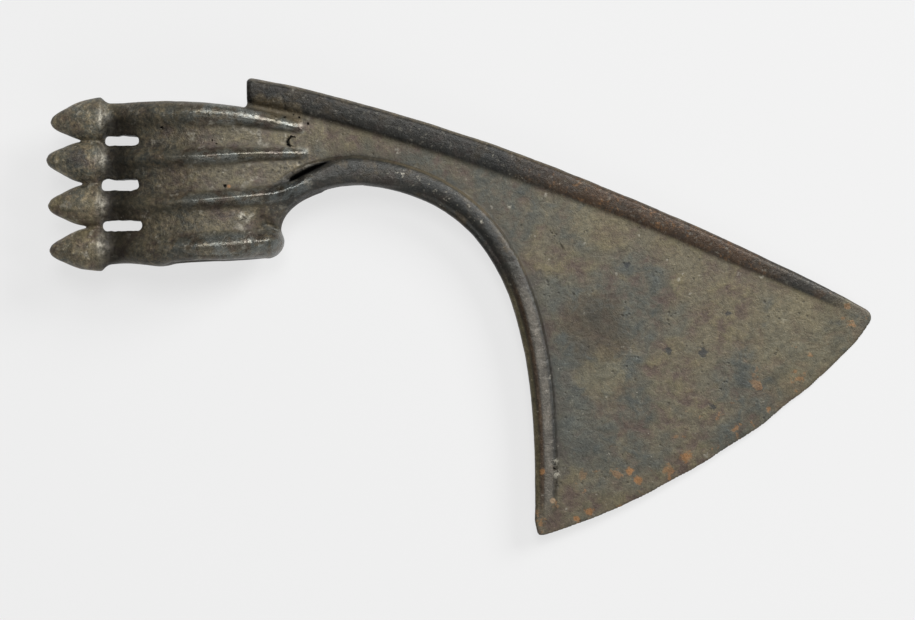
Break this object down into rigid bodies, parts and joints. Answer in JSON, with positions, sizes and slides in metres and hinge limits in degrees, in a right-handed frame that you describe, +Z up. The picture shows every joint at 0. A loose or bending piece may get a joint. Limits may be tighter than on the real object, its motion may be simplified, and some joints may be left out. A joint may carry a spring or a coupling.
{
  "type": "bronze axe head",
  "caption": "Ancient bronze axe head: drop-shaped ribbed shaft socket, spiked butt, arched neck, thick back flange and thin fan-shaped blade.",
  "frame": {"origin": "floor level under the middle of the lying axe head's bounding box", "axes": "+X from the spiked butt to the blade's tip, +Y towards the back flange, +Z up from the floor"},
  "size_m": [0.2098, 0.116, 0.0255],
  "materials": {
    "bronze": "aged bronze, mottled olive-brown patina with dark polished ribs and crests"
  },
  "bodies": {
    "root": {"axe_head": "bronze"}
  },
  "joints": []
}
